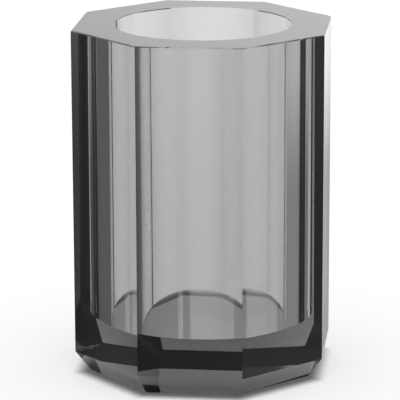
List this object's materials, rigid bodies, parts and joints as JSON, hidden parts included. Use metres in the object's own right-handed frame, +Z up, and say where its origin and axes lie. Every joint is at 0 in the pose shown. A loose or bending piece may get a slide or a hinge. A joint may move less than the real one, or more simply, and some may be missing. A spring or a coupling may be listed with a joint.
{
  "type": "eight-sided crystal tumbler",
  "caption": "Thick-walled eight-sided smoked-crystal tumbler with a round hollow, a solid crystal foot and a slanted cut round its base.",
  "frame": {"origin": "middle of the flat resting face under the foot", "axes": "+Z up out of the mouth, along the bore's axis; one flat side faces -Y, and its opposite side faces +Y"},
  "size_m": [0.078, 0.078, 0.11],
  "materials": {
    "smoked_crystal": "clear grey crystal, cut and polished on every face",
    "bond_adhesive": "clear cured acrylic adhesive"
  },
  "bodies": {
    "root": {"base_block": "smoked_crystal", "bond_film": "bond_adhesive", "bored_sleeve": "smoked_crystal"}
  },
  "joints": []
}
